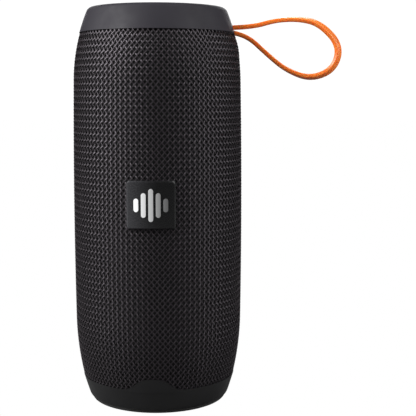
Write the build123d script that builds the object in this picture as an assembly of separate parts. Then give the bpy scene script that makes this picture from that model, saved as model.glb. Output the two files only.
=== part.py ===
from build123d import *
import math
import os

# Portable bluetooth speaker: an upright barrel in a woven sleeve, with two full-range drivers behind
# the front, a passive radiator in each end, a control spine with a covered port bay at the back and a
# wrist strap at the top. Millimetres. +Z runs up the barrel's axis from the underside of the foot ring,
# the badge faces -Y, the control spine faces +Y and the strap leaves on the +X side.

# Barrel outline, as (radius, height) on the sleeve's outer surface
OUTLINE_LOW = (33.75, 9.2)
SHOULDER_LOW = (37.42, 37.4)
BELLY = (37.78, 91.0)
SHOULDER_HIGH = (37.24, 144.0)
OUTLINE_HIGH = (33.9, 165.2)
HEIGHT = 175.0
SEAM_LOW = 11.5
SEAM_HIGH = 163.9
SEAM_GAP = 0.3

# Layers, as depths under the sleeve's outer surface
SLEEVE = 0.9
SHELL_OUT = 1.0
SHELL_IN = 3.4
GRILLE_IN = 3.0
PROUD = 1.3
SPINE_PROUD = 0.5
FIT = 0.15

# Acoustic housing
SHELL_LOW = 12.8
SHELL_HIGH = 162.4
WINDOW_LOW = 24.0
WINDOW_HIGH = 151.0
BAFFLE_FRONT = -22.0
BAFFLE_BACK = -19.0
SHELF_BACK = -16.5
SCREW_CIRCLE = 30.0
SCREW_AZIMUTHS = (45, 135, 225, 315)

# End rings and passive radiators, heights measured outwards from the shell's end
END_BORE = 24.0
FLANGE_RADIUS = 31.7
FLANGE_TOP = 3.0
COLLAR_RADIUS = 27.0
COLLAR_TOP = 5.8
MEMBRANE = 0.6
END_OPENING = 27.2
RADIATOR_FACE = 7.6
RADIATOR_RADIUS = 19.0

# Base tongue, the raised middle of the base's front edge
TONGUE_HALF = 13.5
TONGUE_FLAT = 1.6
TONGUE_HEIGHT = 5.2

# Drivers, depths measured backwards from the basket's front face
DRIVER_HEIGHTS = {"lower": 50.0, "upper": 127.0}
GASKET = 0.5
FLANGE = 1.4
FLANGE_SIDE = 43.0
DRIVER_SCREW = 17.2
CONE_RADIUS = 14.2
COIL_RADIUS = 8.0
BASKET_DEPTH = 13.2
TOP_PLATE_DEPTH = 16.2
MAGNET_DEPTH = 22.2
YOKE_DEPTH = 25.2

# Badge
BADGE_HEIGHT = 91.5
BADGE_PROUD = 1.0
BADGE_SIZE = (20.6, 20.2)
BAR_WIDTH = 2.0
BAR_PITCH = 3.1
BAR_LENGTHS = (5.6, 10.2, 13.7, 10.2, 5.6)

# Control spine
SPINE_WIDTH = 17.0
SPINE_LOW = 36.0
SPINE_HIGH = 143.0
BUTTONS = {
    "power": (134.5, 4.2),
    "pairing": (121.5, 4.2),
    "volume_up": (107.5, 4.8),
    "play": (94.5, 4.8),
    "volume_down": (81.5, 4.8),
}
BUTTON_FLANGE = 0.6
LED_HEIGHT = 71.5
LED_PITCH = 2.0
LED_COUNT = 5
LED_TOP = 33.7
MICROPHONE_HEIGHT = 128.0
KEY_BOARD_Y = (32.2, 33.4)
SWITCH_TOP = 34.9
STEM_LOW = 35.8

# Port bay and its hinged cover
BAY_FLOOR = 30.5
BAY_X = 5.1
BAY_Z = (45.2, 64.8)
BAY_WALL = 1.2
BAY_RIM = 36.2
COVER_Z = (44.0, 66.0)
COVER_X = 6.2
COVER_BACK = 36.75
HINGE_Y = 36.6
HINGE_Z = 42.2
HINGE_PIN = 0.5
USB_Z = 49.6
JACK_Z = 60.0
JACK_BORE = 1.8
JACK_HOLE = 1.95
JACK_DEPTH = 12.5

# Electronics and battery
BOARD_HALF = 0.8
BOARD_Y = (4.0, 29.0)
BOARD_Z = (36.5, 149.5)
CELL_X = 16.0
CELL_Y = 13.5
CELL_RADIUS = 9.15
CELL_Z = (56.0, 121.0)
PLUG_DEPTH = 4.0
SPEAKER_PLUGS = {"lower": 69.0, "upper": 108.0}

# Wrist strap: a flat band bent into a free loop, both ends held in one anchor inside the cap
STRAP_Y = 3.0
STRAP_WIDTH = 3.5
STRAP_THICK = 1.85
STRAP_ROUTE = [
    (31.2, 166.8),
    (42.0, 167.0),
    (52.5, 170.0),
    (63.5, 170.7),
    (72.5, 168.5),
    (81.5, 159.0),
    (79.0, 148.5),
    (68.5, 144.0),
    (57.5, 148.0),
    (49.5, 154.5),
    (38.9, 164.3),
    (31.2, 164.85),
]
ANCHOR_X = (28.4, 31.2)
ANCHOR_HALF = 2.3
ANCHOR_Z = (163.8, 167.9)
STRAP_PIN = 0.7

STAND = (Align.CENTER, Align.CENTER, Align.MIN)
FAR = 60.0


def rod(radius, low, high, x=0.0, y=0.0):
    """Upright cylinder between two heights."""
    return Pos(x, y, low) * Cylinder(radius, high - low, align=STAND)


def ring(outer, inner, low, high):
    """Upright plain ring between two heights."""
    return rod(outer, low, high) - rod(inner, low - 1, high + 1)


def slab(x, y, z):
    """Box between the lowest and highest coordinate on each axis."""
    spans = [high - low for low, high in (x, y, z)]
    middle = [(high + low) / 2 for low, high in (x, y, z)]
    return Pos(*middle) * Box(*spans)


def radial_rod(radius, near, far, height, x=0.0):
    """Cylinder along Y from near to far."""
    return Pos(x, near, height) * Rot(-90, 0, 0) * Cylinder(radius, far - near, align=STAND)


def cross_rod(radius, low, high, y, z):
    """Cylinder along X from low to high."""
    return Pos(low, y, z) * Rot(0, 90, 0) * Cylinder(radius, high - low, align=STAND)


def turned(*edges):
    """Solid turned about Z from the edges of a closed (radius, height) outline."""
    return revolve(Plane.XZ * make_face(list(edges)), Axis.Z)


def turned_points(*points):
    """Solid turned about Z from a closed polygon of (radius, height) points."""
    return turned(*Polyline(*points, close=True).edges())


def barrel(depth, low=SEAM_LOW, high=SEAM_HIGH):
    """Everything deeper than depth under the sleeve's outer surface, between two heights."""

    def inset(point):
        return (point[0] - depth, point[1])

    belly = ThreePointArc(inset(SHOULDER_LOW), inset(BELLY), inset(SHOULDER_HIGH))
    lower = TangentArc(belly @ 0, inset(OUTLINE_LOW), tangent=(belly % 0) * -1)
    upper = TangentArc(belly @ 1, inset(OUTLINE_HIGH), tangent=belly % 1)
    core = Polyline(lower @ 1, (0, OUTLINE_LOW[1]), (0, OUTLINE_HIGH[1]), upper @ 1)
    solid = turned(belly, lower, upper, *core.edges())
    return solid & slab((-FAR, FAR), (-FAR, FAR), (low, high))


def layer(outer_depth, inner_depth, low=SEAM_LOW, high=SEAM_HIGH):
    """Barrel-shaped skin between two depths and two heights."""
    return barrel(outer_depth, low, high) - barrel(inner_depth, low - 1, high + 1)


def stadium(width, low, high):
    """Prism along +Y with a round-ended upright outline."""
    middle = Plane(origin=(0, 0, (low + high) / 2), x_dir=(0, 0, 1), z_dir=(0, 1, 0))
    return extrude(middle * SlotOverall(high - low, width), FAR)


def front_prism(sketch, height):
    """Prism along -Y from the axis plane, its outline centred at a height."""
    return extrude(Pos(0, 0, height) * (Plane.XZ * sketch), FAR)


def tongue(base):
    """Prism along -Y whose top edge is the base's raised front edge, with its feet at height base."""
    half_way = (TONGUE_HALF + TONGUE_FLAT) / 2
    middle = base + TONGUE_HEIGHT / 2
    top = base + TONGUE_HEIGHT
    edges = []
    for side in (-1, 1):
        edges.append(TangentArc((side * TONGUE_HALF, base), (side * half_way, middle), tangent=(-side, 0)))
        edges.append(TangentArc((side * TONGUE_FLAT, top), (side * half_way, middle), tangent=(side, 0)))
        edges.append(Line((side * TONGUE_HALF, base), (side * TONGUE_HALF, base - 1)))
    edges.append(Line((-TONGUE_FLAT, top), (TONGUE_FLAT, top)))
    edges.append(Line((-TONGUE_HALF, base - 1), (TONGUE_HALF, base - 1)))
    return extrude(Plane.XZ * make_face(edges), FAR)


def routed(points):
    """Path through hand-set points with the largest arcs that its runs allow, and those radii."""
    corners = [Vector(*point) for point in points]
    radii = []
    for before, here, after in zip(corners, corners[1:], corners[2:]):
        turn = math.radians((here - before).get_angle(after - here))
        shorter = min((here - before).length, (after - here).length)
        radii.append(0.45 * shorter / math.tan(turn / 2))
    return FilletPolyline(*corners, radius=radii), radii


def wire(points, radius):
    """Round wire along a routed path."""
    path, _ = routed(points)
    return sweep(Plane(origin=path @ 0, z_dir=path % 0) * Circle(radius), path)


# Sleeve, base and cap


def strap_notch():
    """Lowest and highest Y of the notch that the strap leaves through."""
    half = STRAP_WIDTH / 2 + FIT
    return (STRAP_Y - half, STRAP_Y + half)


def fabric_sleeve():
    """Woven skin with cut-outs for the badge and the control spine and a notch under the strap."""
    width, height = BADGE_SIZE
    sleeve = layer(0, SLEEVE) - tongue(SEAM_LOW)
    sleeve -= front_prism(RectangleRounded(width + 2 * FIT, height + 2 * FIT, 1.4), BADGE_HEIGHT)
    sleeve -= slab((30, 40), strap_notch(), (SEAM_HIGH - 0.7, SEAM_HIGH + 1))
    return sleeve - stadium(SPINE_WIDTH + 2 * FIT, SPINE_LOW - FIT, SPINE_HIGH + FIT)


def base_ring():
    """Dark lower ring, hollow under its flank, with the tongue raised over the sleeve's front edge."""
    top = SEAM_LOW - SEAM_GAP
    flank = ThreePointArc((34.3, top), (33.0, 6.9), (31.75, 3.1))
    corner = TangentArc(flank @ 1, (30.6, 1.5), tangent=flank % 1)
    inside = Polyline(
        corner @ 1,
        (END_OPENING, 1.5),
        (END_OPENING, 7.0),
        (28.2, 7.0),
        (28.2, 3.4),
        (29.4, 3.4),
        (30.0, 4.6),
        (32.3, top),
        flank @ 0,
    )
    body = turned(flank, corner, *inside.edges())
    raised = layer(-FIT, SHELL_OUT - 0.05, OUTLINE_LOW[1], SEAM_LOW + TONGUE_HEIGHT) & tongue(top)
    return body + raised


def foot_ring():
    """Soft ring that the speaker stands on."""
    edge = ThreePointArc((30.5, 1.5), (30.05, 0.45), (29.1, 0.0))
    inner = ThreePointArc((27.8, 0.0), (27.38, 0.18), (END_OPENING, 0.6))
    sides = [Line((29.1, 0.0), (27.8, 0.0)), Line((END_OPENING, 0.6), (END_OPENING, 1.5))]
    return turned(edge, inner, *sides, Line((END_OPENING, 1.5), (30.5, 1.5)))


def top_cap():
    """Leaning upper ring, hollow inside, with a notch and two ribs for the strap's anchor."""
    low = SEAM_HIGH + SEAM_GAP
    flank = ThreePointArc((34.38, low), (32.78, 169.2), (31.15, 173.5))
    rim = TangentArc(flank @ 1, (29.7, HEIGHT), tangent=flank % 1)
    lip = ThreePointArc((28.0, HEIGHT), (27.43, 174.77), (END_OPENING, 174.2))
    hollow = [(END_OPENING, 168.0), (28.2, 168.0), (28.2, 172.6), (29.6, 172.8), (32.15, low)]
    inside = Polyline(lip @ 1, *hollow)
    closing = [Line(rim @ 1, lip @ 0), Line((32.15, low), flank @ 0)]
    body = turned(flank, rim, lip, *inside.edges(), *closing)
    rib_low = ANCHOR_Z[0] + 0.6
    channel = turned_points((28.3, rib_low), (28.0, 173.0), (29.8, 173.0), (32.4, rib_low))
    for side in (-1, 1):
        near, far = sorted((STRAP_Y + side * (ANCHOR_HALF + 0.1), STRAP_Y + side * (ANCHOR_HALF + 2.2)))
        body += channel & slab((20, 40), (near, far), (rib_low, 173.0))
    pin_y = (STRAP_Y - ANCHOR_HALF - 2.3, STRAP_Y + ANCHOR_HALF + 2.3)
    body -= radial_rod(STRAP_PIN + 0.03, *pin_y, sum(ANCHOR_Z) / 2, sum(ANCHOR_X) / 2)
    pocket_y = (STRAP_Y - ANCHOR_HALF - 0.1, STRAP_Y + ANCHOR_HALF + 0.1)
    body -= slab((28.2, 31.5), pocket_y, (160, ANCHOR_Z[1] + 0.1))
    return body - slab((31, 40), strap_notch(), (160, ANCHOR_Z[1]))


# Strap


def strap():
    """Flat band, its broad side across Y, along the routed loop."""
    path, radii = routed([(x, STRAP_Y, z) for x, z in STRAP_ROUTE])
    start = Plane(origin=path @ 0, x_dir=(0, 1, 0), z_dir=path % 0)
    band = sweep(start * Rectangle(STRAP_WIDTH, STRAP_THICK), path)
    print("strap length", round(path.length, 1), "volume", round(band.volume, 1))
    print("strap section times length", round(STRAP_WIDTH * STRAP_THICK * path.length, 1))
    print("strap radii", [round(radius, 1) for radius in radii])
    return band


def strap_anchor():
    """Block that both ends of the strap are bonded to, hung on the strap pin."""
    block = slab(ANCHOR_X, (STRAP_Y - ANCHOR_HALF, STRAP_Y + ANCHOR_HALF), ANCHOR_Z)
    return block - radial_rod(STRAP_PIN + 0.03, -FAR, FAR, sum(ANCHOR_Z) / 2, sum(ANCHOR_X) / 2)


def strap_pin():
    """Steel pin through the anchor and the cap's two ribs."""
    half = ANCHOR_HALF + 2.1
    return radial_rod(STRAP_PIN, STRAP_Y - half, STRAP_Y + half, sum(ANCHOR_Z) / 2, sum(ANCHOR_X) / 2)


# Badge


def badge_plate():
    """Curved square plate through the sleeve, with a bevelled edge."""
    plate = front_prism(RectangleRounded(*BADGE_SIZE, 1.3), BADGE_HEIGHT)
    plate = plate & layer(-BADGE_PROUD, SHELL_OUT, 70, 110)
    face = plate.faces().sort_by(Axis.Y)[0]
    return chamfer(face.edges(), 0.6)


def badge_emblem():
    """Five upright bars of a sound level, raised on the badge."""
    skin = layer(-PROUD, -BADGE_PROUD, 70, 110)
    bars = []
    for index, length in enumerate(BAR_LENGTHS):
        x = (index - (len(BAR_LENGTHS) - 1) / 2) * BAR_PITCH
        outline = Pos(x, 0) * Rot(0, 0, 90) * SlotOverall(length, BAR_WIDTH)
        bars.append(front_prism(outline, BADGE_HEIGHT) & skin)
    return bars


# Housing


def screw_boss(low, high):
    """Boss with a pilot hole on the end-screw circle, webbed to the shell's wall."""
    post = rod(2.2, low, high, SCREW_CIRCLE) + slab((SCREW_CIRCLE, 36), (-1.5, 1.5), (low, high))
    return post - rod(0.75, low - 1, high + 1, SCREW_CIRCLE)


def rear_shell():
    """Sides and back of the acoustic housing, with a shelf for the baffle and the port bay's tub."""
    shell = layer(SHELL_OUT, SHELL_IN, SHELL_LOW, SHELL_HIGH)
    shell -= slab((-FAR, FAR), (-FAR, BAFFLE_BACK), (WINDOW_LOW, WINDOW_HIGH))
    inner = barrel(SHELL_IN - 0.2, SHELL_LOW, SHELL_HIGH)
    shelf = inner & slab((-FAR, FAR), (BAFFLE_BACK, SHELF_BACK), (WINDOW_LOW - 1, WINDOW_HIGH + 1))
    shell += shelf - slab((-23.5, 23.5), (-30, 0), (WINDOW_LOW + 3, WINDOW_HIGH - 3))
    trim = barrel(SHELL_OUT + 0.1, SHELL_LOW, SHELL_HIGH)
    for azimuth in SCREW_AZIMUTHS:
        for low, high in ((SHELL_LOW, SHELL_LOW + 10), (SHELL_HIGH - 10, SHELL_HIGH)):
            shell += (Rot(0, 0, azimuth) * screw_boss(low, high)) & trim
            shell -= Rot(0, 0, azimuth) * rod(0.75, low, high, SCREW_CIRCLE)
    for low in (BOARD_Z[0] + 0.5, BOARD_Z[1] - 6):
        shell += slab((-4.6, -BOARD_HALF - 0.05), (22, 35), (low, low + 5)) & trim
        shell -= cross_rod(0.75, -4.0, 0, 25.5, low + 2.5)
    bay_x = (-BAY_X - BAY_WALL, BAY_X + BAY_WALL)
    bay_z = (BAY_Z[0] - BAY_WALL, BAY_Z[1] + BAY_WALL)
    shell += slab(bay_x, (BAY_FLOOR - BAY_WALL, BAY_RIM), bay_z)
    cuts = [
        slab(bay_x, (BAY_RIM, 40), bay_z),
        slab((-BAY_X, BAY_X), (BAY_FLOOR, 40), BAY_Z),
        slab((-1.5, 1.5), (25, 40), (USB_Z - 3.95, USB_Z + 3.95)),
        radial_rod(JACK_HOLE, 25, 40, JACK_Z),
        slab((-6.9, 6.9), (34.9, 40), (HINGE_Z - 2.4, HINGE_Z + 1.8)),
        radial_rod(0.6, 30, 40, MICROPHONE_HEIGHT),
        radial_rod(2.1, 30, 34.5, MICROPHONE_HEIGHT),
        slab((-4.8, 4.8), (30, 40), (LED_HEIGHT - 0.7, LED_HEIGHT + 0.7)),
    ]
    for height, radius in BUTTONS.values():
        cuts.append(radial_rod(radius + BUTTON_FLANGE + 0.5, 30, 40, height))
    for cut in cuts:
        shell -= cut
    return shell


def front_baffle():
    """Flat plate that carries both drivers."""
    band = (WINDOW_LOW + 0.5, WINDOW_HIGH - 0.5)
    plate = barrel(SHELL_IN + 0.05, *band) & slab((-FAR, FAR), (BAFFLE_FRONT, BAFFLE_BACK), band)
    for height in DRIVER_HEIGHTS.values():
        plate -= radial_rod(18.9, -30, -10, height)
        for x, z in driver_screw_places():
            plate -= radial_rod(0.8, -30, -10, height + z, x)
    return plate


def front_grille():
    """Slotted cover over the drivers, solid behind the badge."""
    band = (WINDOW_LOW + FIT, WINDOW_HIGH - FIT)
    grille = layer(SHELL_OUT, GRILLE_IN, *band) & slab((-FAR, FAR), (-FAR, BAFFLE_BACK - FIT), band)
    slot = Rot(0, 0, 90) * SlotOverall(8.4, 2.4)
    slots = []
    for height in DRIVER_HEIGHTS.values():
        for column in range(-4, 5):
            for row in (-1.5, -0.5, 0.5, 1.5):
                slots.append(front_prism(Pos(column * 5.0, row * 10.6) * slot, height))
    return grille - slots


END_PLACES = {
    "top": Pos(0, 0, SHELL_HIGH),
    "bottom": Pos(0, 0, SHELL_LOW) * Rot(180, 0, 0),
}


def end_frame(end):
    """Bulkhead that closes the housing and seats a passive radiator on its collar."""
    frame = ring(FLANGE_RADIUS, END_BORE, 0, FLANGE_TOP)
    frame += ring(27.4, END_BORE + 0.4, -5.0, 0.0)
    frame += ring(COLLAR_RADIUS, END_BORE, FLANGE_TOP, COLLAR_TOP)
    for azimuth in SCREW_AZIMUTHS:
        frame -= Rot(0, 0, azimuth) * rod(0.9, -1, FLANGE_TOP + 1, SCREW_CIRCLE)
    frame = END_PLACES[end] * frame
    if end == "top":
        notch = (STRAP_Y - ANCHOR_HALF - 2.6, STRAP_Y + ANCHOR_HALF + 2.6)
        frame -= slab((27.2, 40), notch, (ANCHOR_Z[0] - 0.2, 180))
    return frame


def end_frame_screws():
    """Eight screws that hold the end frames to the shell's bosses."""
    screw = rod(0.74, -8, FLANGE_TOP, SCREW_CIRCLE) + rod(1.3, FLANGE_TOP, FLANGE_TOP + 1.3, SCREW_CIRCLE)
    screw -= rod(0.5, FLANGE_TOP + 0.6, FLANGE_TOP + 2, SCREW_CIRCLE)
    ring_of_screws = [Rot(0, 0, azimuth) * screw for azimuth in SCREW_AZIMUTHS]
    return [place * one for place in END_PLACES.values() for one in ring_of_screws]


# Passive radiators, built outwards along +Z from the shell's end and placed at each end


def half_roll(middle, base, radius, thickness):
    """Half-round roll of a surround, open underneath, as a ring about Z."""
    outer = Pos(middle, 0, base) * Rot(90, 0, 0) * Circle(radius + thickness / 2)
    inner = Pos(middle, 0, base) * Rot(90, 0, 0) * Circle(radius - thickness / 2)
    tube = revolve(outer, Axis.Z) - revolve(inner, Axis.Z)
    return tube & rod(FAR, base, base + FAR)


def radiator_surround():
    """Rubber half roll with an outer land on the collar and an inner land under the diaphragm."""
    land = ring(26.9, 23.7, COLLAR_TOP, COLLAR_TOP + MEMBRANE)
    inner_land = ring(19.5, 17.5, COLLAR_TOP, COLLAR_TOP + MEMBRANE)
    return half_roll(21.6, COLLAR_TOP, 2.1, MEMBRANE) + land + inner_land


def radiator_diaphragm():
    """Stiff disc with two ring grooves and a plug that holds the weight."""
    land = COLLAR_TOP + MEMBRANE
    disc = rod(RADIATOR_RADIUS, land, RADIATOR_FACE) + rod(17.4, COLLAR_TOP - 1.2, land)
    for radius in (8.0, 13.5):
        disc -= ring(radius + 0.9, radius, RADIATOR_FACE - 0.4, RADIATOR_FACE + 1)
    return chamfer(disc.edges().group_by(Axis.Z)[-1].sort_by(SortBy.RADIUS)[-1], 0.4)


def radiator_weight():
    """Steel tuning weight under the diaphragm."""
    return rod(12.0, COLLAR_TOP - 3.4, COLLAR_TOP - 1.2)


def radiator_clamp():
    """Ring that clamps the surround's outer land to the collar."""
    return ring(26.9, 24.1, COLLAR_TOP + MEMBRANE, COLLAR_TOP + 2.0)


# Drivers, built with their front along +Z and the basket's front face at zero


def driver_screw_places():
    """Corner screws of one driver, as (x, z) from its centre."""
    return [(x * DRIVER_SCREW, z * DRIVER_SCREW) for x in (-1, 1) for z in (-1, 1)]


def driver_place(height):
    """Frame of a driver: origin at its basket's front face, +Z forwards."""
    front = BAFFLE_FRONT - GASKET - FLANGE
    return Plane(origin=(0, front, height), x_dir=(1, 0, 0), z_dir=(0, -1, 0)).location


def driver_gasket():
    """Foam gasket between the basket's flange and the baffle."""
    gasket = extrude(RectangleRounded(FLANGE_SIDE, FLANGE_SIDE, 9) - Circle(18.7), -GASKET)
    for x, y in driver_screw_places():
        gasket -= rod(0.9, -2, 1, x, y)
    return Pos(0, 0, -FLANGE) * gasket


def driver_basket():
    """Pressed basket: square flange, four-window cup, floor with the coil's bore, and a terminal ear."""
    basket = extrude(RectangleRounded(FLANGE_SIDE, FLANGE_SIDE, 9) - Circle(17.6), -FLANGE)
    basket += turned_points(
        (17.2, -FLANGE), (18.4, -FLANGE), (14.5, -BASKET_DEPTH + 1.2), (14.5, -BASKET_DEPTH),
        (9.0, -BASKET_DEPTH), (9.0, -BASKET_DEPTH + 1.2), (13.3, -BASKET_DEPTH + 1.2),
        (13.9, -10.0), (12.6, -10.0), (12.6, -9.2), (14.4, -9.2), (17.2, -FLANGE - 0.8),
    )  # fmt: skip
    for azimuth in (45, 135, 225, 315):
        basket -= Rot(0, 0, azimuth) * slab((15.0, 22), (-6, 6), (-8.4, -FLANGE - 1.4))
    basket += slab((-19.5, -13.8), (-3.5, 3.5), (-BASKET_DEPTH, -BASKET_DEPTH + 1.2))
    for x, y in driver_screw_places():
        basket -= rod(0.9, -FLANGE - 1, 1, x, y)
    return basket


def driver_surround():
    """Rubber half roll between the flange and the cone's edge."""
    outer_land = ring(19.2, 17.4, 0, 0.5)
    inner_land = ring(14.4, 12.9, 0, 0.5)
    return half_roll(15.9, 0, 1.6, 0.5) + outer_land + inner_land


def driver_cone():
    """Paper cone under the surround's inner land, down to the coil's former."""
    return turned_points(
        (CONE_RADIUS, 0.0), (COIL_RADIUS + 0.5, -4.7), (COIL_RADIUS, -4.7), (COIL_RADIUS, -5.4),
        (COIL_RADIUS + 0.8, -5.4), (CONE_RADIUS, -0.7),
    )  # fmt: skip


def driver_dust_cap():
    """Shallow dome that closes the cone's neck."""
    rim = COIL_RADIUS + 1.6
    base = -4.7 + 1.1 * 4.7 / (CONE_RADIUS - COIL_RADIUS - 0.5)
    outer = ThreePointArc((0, base + 2.6), (rim * 0.53, base + 1.9), (rim, base))
    inner = ThreePointArc((0, base + 2.2), (rim * 0.53, base + 1.5), (rim - 0.5, base))
    sides = [Line((rim, base), (rim - 0.5, base)), Line((0, base + 2.6), (0, base + 2.2))]
    return turned(outer, inner, *sides)


def driver_voice_coil():
    """Thin former with the winding centred on the top plate."""
    middle = -(BASKET_DEPTH + TOP_PLATE_DEPTH) / 2
    return ring(COIL_RADIUS, COIL_RADIUS - 0.2, middle - 2.5, -4.9) + ring(
        COIL_RADIUS + 0.4, COIL_RADIUS - 0.1, middle - 2.5, middle + 2.5
    )


def driver_spider():
    """Corrugated disc that centres the coil, glued on the basket's ledge."""
    disc = ring(13.4, COIL_RADIUS + 0.02, -9.2, -8.8)
    for radius in (9.4, 11.4):
        disc += half_roll(radius, -9.2, 0.5, 0.3)
        disc -= ring(radius + 0.3, radius - 0.3, -9.4, -8.9)
    return disc


def driver_top_plate():
    """Steel plate on the basket's floor with the magnetic gap in its bore."""
    return ring(15.0, COIL_RADIUS + 0.8, -TOP_PLATE_DEPTH, -BASKET_DEPTH)


def driver_magnet():
    """Ring magnet."""
    return ring(17.0, 10.5, -MAGNET_DEPTH, -TOP_PLATE_DEPTH)


def driver_yoke():
    """Steel back plate with the vented pole piece."""
    yoke = rod(15.0, -YOKE_DEPTH, -MAGNET_DEPTH) + rod(COIL_RADIUS - 0.6, -MAGNET_DEPTH, -BASKET_DEPTH)
    return chamfer(yoke.edges().group_by(Axis.Z)[0], 0.6) - rod(2.0, -YOKE_DEPTH - 1, 0)


def driver_screw():
    """Pan-head screw at one corner of a basket."""
    screw = rod(0.74, -FLANGE - 3.4, 0) + rod(1.5, 0, 1.1)
    screw -= slab((-0.2, 0.2), (-1.0, 1.0), (0.6, 2))
    return screw - slab((-1.0, 1.0), (-0.2, 0.2), (0.6, 2))


# Control spine


def led_places():
    """Sideways positions of the battery level lights."""
    return [(index - (LED_COUNT - 1) / 2) * LED_PITCH for index in range(LED_COUNT)]


def spine_panel():
    """Curved strip through the sleeve with holes for buttons, lights, microphone and port cover."""
    panel = layer(-SPINE_PROUD, SHELL_OUT - 0.05, 30, 150) & stadium(SPINE_WIDTH, SPINE_LOW, SPINE_HIGH)
    for height, radius in BUTTONS.values():
        panel -= radial_rod(radius + 0.2, 30, FAR, height)
        panel -= radial_rod(radius + BUTTON_FLANGE + 0.3, 30, 37.35, height)
    for x in led_places():
        panel -= radial_rod(0.65, 30, FAR, LED_HEIGHT, x)
    panel -= radial_rod(0.5, 30, FAR, MICROPHONE_HEIGHT)
    opening = slab((-COVER_X - 0.3, COVER_X + 0.3), (30, FAR), (HINGE_Z - 2.7, COVER_Z[1] + 0.3))
    panel -= opening
    for side in (-1, 1):
        near, far = sorted((side * 3.9, side * 6.7))
        lug = cross_rod(1.35, near, far, HINGE_Y, HINGE_Z)
        lug += slab((near, far), (35.3, HINGE_Y), (HINGE_Z - 2.2, HINGE_Z))
        panel += lug - cross_rod(HINGE_PIN, near - 1, far + 1, HINGE_Y, HINGE_Z)
    return panel


def button(name):
    """Bevelled key with a hidden flange under the panel and a stem over its switch."""
    height, radius = BUTTONS[name]
    cap = radial_rod(radius, 37.0, BELLY[0] + PROUD, height)
    cap = chamfer(cap.edges().sort_by(Axis.Y)[-1], 0.4)
    flange = radial_rod(radius + BUTTON_FLANGE, 36.75, 37.3, height)
    return cap + flange + radial_rod(1.6, STEM_LOW, 36.9, height)


def key_board():
    """Narrow circuit board behind the spine."""
    return slab((-5.0, 5.0), KEY_BOARD_Y, (69.0, 140.5))


def key_switches():
    """One dome switch behind each button."""
    switches = []
    for height, _ in BUTTONS.values():
        body = slab((-2.2, 2.2), (KEY_BOARD_Y[1], SWITCH_TOP), (height - 2.2, height + 2.2))
        switches.append(body + radial_rod(1.1, SWITCH_TOP, SWITCH_TOP + 0.4, height))
    return switches


def indicator_leds():
    """Light-emitting chips of the battery level row."""
    rise = (LED_HEIGHT - 0.6, LED_HEIGHT + 0.6)
    return [slab((x - 0.5, x + 0.5), (KEY_BOARD_Y[1], LED_TOP), rise) for x in led_places()]


def light_pipes():
    """Clear rods that carry the level lights to the spine's surface."""
    surface = barrel(-SPINE_PROUD, 60, 80)
    return [radial_rod(0.6, LED_TOP + 0.1, FAR, LED_HEIGHT, x) & surface for x in led_places()]


def microphone():
    """Round microphone capsule behind its pinhole."""
    return radial_rod(2.0, KEY_BOARD_Y[1], 34.4, MICROPHONE_HEIGHT)


# Port bay


def port_seal():
    """Flat rubber gasket on the bay's rim."""
    outer_x = BAY_X + BAY_WALL - 0.2
    outer_z = (BAY_Z[0] - BAY_WALL + 0.2, BAY_Z[1] + BAY_WALL - 0.2)
    seal = slab((-outer_x, outer_x), (BAY_RIM, BAY_RIM + 0.45), outer_z)
    return seal - slab((-BAY_X - 0.1, BAY_X + 0.1), (BAY_RIM - 1, FAR), (BAY_Z[0] - 0.1, BAY_Z[1] + 0.1))


def port_cover():
    """Hinged cover with a flat back, a curved face, a finger lip and a knuckle on its hinge pin."""
    middle = Plane(origin=(0, 30, sum(COVER_Z) / 2), x_dir=(1, 0, 0), z_dir=(0, -1, 0))
    outline = RectangleRounded(2 * COVER_X, COVER_Z[1] - COVER_Z[0], 2.5)
    plate = extrude(middle * outline, -FAR) & slab((-FAR, FAR), (COVER_BACK, FAR), COVER_Z)
    plate = plate & barrel(-SPINE_PROUD - 0.2, 30, 80)
    grip = radial_rod(9.0, 37.75, FAR, COVER_Z[1] + 5.6)
    knuckle = cross_rod(1.3, -3.6, 3.6, HINGE_Y, HINGE_Z)
    web = slab((-3.6, 3.6), (COVER_BACK, HINGE_Y + 1.2), (HINGE_Z, COVER_Z[0] + 1.0))
    return plate - grip + knuckle + web - cross_rod(HINGE_PIN + 0.04, -10, 10, HINGE_Y, HINGE_Z)


def port_cover_pin():
    """Steel hinge pin, pressed in the spine's lugs."""
    return cross_rod(HINGE_PIN, -5.5, 5.5, HINGE_Y, HINGE_Z)


def usb_port():
    """Metal receptacle shell with its tongue."""
    front = BAY_FLOOR - 0.1
    shell = slab((-1.45, 1.45), (front - 5.6, front), (USB_Z - 3.9, USB_Z + 3.9))
    shell -= slab((-1.15, 1.15), (front - 5.2, FAR), (USB_Z - 3.6, USB_Z + 3.6))
    return shell + slab((-0.15, 0.55), (front - 5.4, front - 0.6), (USB_Z - 2.2, USB_Z + 2.2))


def audio_jack():
    """Moulded 3.5 mm jack behind the hole in the bay's floor."""
    back = BAY_FLOOR - JACK_DEPTH - 1.0
    body = slab((-3.0, 3.0), (back, BAY_FLOOR - BAY_WALL), (JACK_Z - 3.2, JACK_Z + 3.2))
    return body - radial_rod(JACK_BORE, BAY_FLOOR - JACK_DEPTH, FAR, JACK_Z)


# Electronics and battery


def main_board():
    """Upright circuit board on the housing's middle plane, notched for the sunk sockets."""
    board = slab((-BOARD_HALF, BOARD_HALF), BOARD_Y, BOARD_Z)
    board -= slab((-5, 5), (BAY_FLOOR - JACK_DEPTH - 1.2, FAR), (JACK_Z - 3.4, JACK_Z + 3.4))
    board -= slab((-5, 5), (BAY_FLOOR - 5.9, FAR), (USB_Z - 4.1, USB_Z + 4.1))
    for low in (BOARD_Z[0] + 0.5, BOARD_Z[1] - 6):
        board -= cross_rod(0.85, -5, 5, 25.5, low + 2.5)
    return board


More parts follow.
